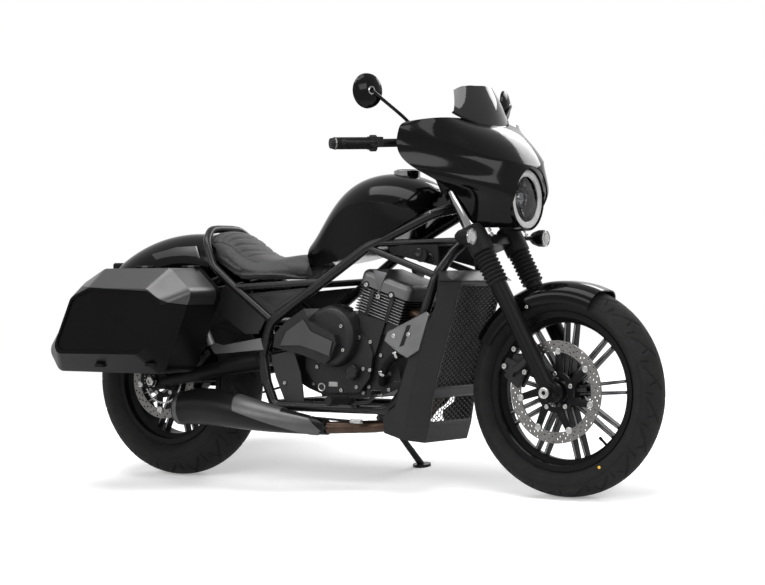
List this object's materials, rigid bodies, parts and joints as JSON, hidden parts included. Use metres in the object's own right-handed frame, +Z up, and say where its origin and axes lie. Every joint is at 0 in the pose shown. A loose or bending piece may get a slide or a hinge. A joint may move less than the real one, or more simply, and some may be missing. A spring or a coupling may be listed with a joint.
{
  "type": "touring cruiser motorcycle",
  "caption": "Touring cruiser motorcycle with a fork-mounted fairing, finned parallel-twin engine, single seat and hard side cases, leaning on its side stand.",
  "frame": {"origin": "on the ground under the middle of the leaned machine's bounding box", "axes": "+X forward, the machine's long axis; +Y towards the rider's left, where the stand is; +Z up"},
  "size_m": [2.1294, 0.9879, 1.3178],
  "materials": {
    "tyre": "matt black rubber",
    "black_wheel": "satin black painted casting",
    "steel": "bare steel",
    "engine_black": "satin black casting",
    "belt": "black toothed belt",
    "black_satin": "satin black powder coat",
    "rubber": "black rubber",
    "black_gloss": "gloss black paint",
    "lens": "clear lens",
    "gloss_plastic": "gloss black moulding",
    "screen": "smoked screen",
    "plastic": "black moulded plastic",
    "lens_red": "red lens",
    "seat_vinyl": "grey vinyl",
    "grey_alloy": "satin grey casting",
    "fins": "black fins with machined edges",
    "exhaust": "satin black exhaust",
    "gunmetal": "gunmetal shield",
    "core": "radiator core"
  },
  "bodies": {
    "frame": {"drive_belt": "belt", "main_frame": "black_satin", "rear_subframe": "black_satin", "swingarm": "black_satin", "shocks": "black_satin", "rear_caliper": "engine_black", "rear_fender": "black_gloss", "tail_light": "lens_red", "plate_bracket": "plastic", "fuel_tank": "black_gloss", "filler_cap": "black_satin", "seat": "seat_vinyl", "side_panels": "gloss_plastic", "engine_case": "engine_black", "engine_covers": "engine_black", "clutch_plate": "grey_alloy", "cylinders": "fins", "valve_cover": "grey_alloy", "exhaust_pipes": "exhaust", "muffler": "exhaust", "heat_shields": "gunmetal", "radiator": "core", "radiator_shroud": "plastic", "shroud_mesh": "plastic", "shroud_brackets": "grey_alloy", "horn": "plastic", "foot_controls": "black_satin", "passenger_pegs": "grey_alloy", "pannier_cases": "gloss_plastic"},
    "steering": {"yokes": "black_satin", "fork_legs": "black_satin", "fork_gaiters": "rubber", "handlebar": "black_satin", "controls": "rubber", "mirrors": "black_satin", "front_fender": "black_gloss", "fairing": "gloss_plastic", "windscreen": "screen", "headlight": "lens", "instrument": "plastic", "front_indicators": "black_satin", "front_caliper": "engine_black"},
    "front_wheel": {"front_tyre": "tyre", "front_rim": "black_wheel", "front_disc": "steel"},
    "rear_wheel": {"rear_tyre": "tyre", "rear_rim": "black_wheel", "rear_disc": "steel", "rear_pulley": "engine_black"},
    "side_stand": {"side_stand": "black_satin"},
    "lid_right": {"lid_right": "gloss_plastic"},
    "lid_left": {"lid_left": "gloss_plastic"}
  },
  "joints": [
    {"name": "front_wheel_spin", "type": "hinge", "parent": "steering", "child": "front_wheel", "pos_m": [0.74484, -0.08353, 0.31762], "axis": [0, 0.9903, -0.1392], "continuous": true},
    {"name": "rear_wheel_spin", "type": "hinge", "parent": "frame", "child": "rear_wheel", "pos_m": [-0.74484, -0.08349, 0.31786], "axis": [0, 0.9903, -0.1392], "continuous": true},
    {"name": "steering_turn", "type": "hinge", "parent": "frame", "child": "steering", "pos_m": [0.40052, -0.01143, 0.8306], "axis": [-0.4848, 0.1217, 0.8661], "range_deg": [-30, 30]},
    {"name": "side_stand_swing", "type": "hinge", "parent": "frame", "child": "side_stand", "pos_m": [-0.03984, 0.08383, 0.18631], "axis": [0.1046, 0.8926, 0.4386], "range_deg": [0, 108.7]},
    {"name": "lid_right_hinge", "type": "hinge", "parent": "frame", "child": "lid_right", "pos_m": [-0.66144, -0.24492, 0.72127], "axis": [-1, 0, 0], "range_deg": [0, 75]},
    {"name": "lid_left_hinge", "type": "hinge", "parent": "frame", "child": "lid_left", "pos_m": [-0.66144, 0.18288, 0.66115], "axis": [1, 0, 0], "range_deg": [0, 75]}
  ]
}
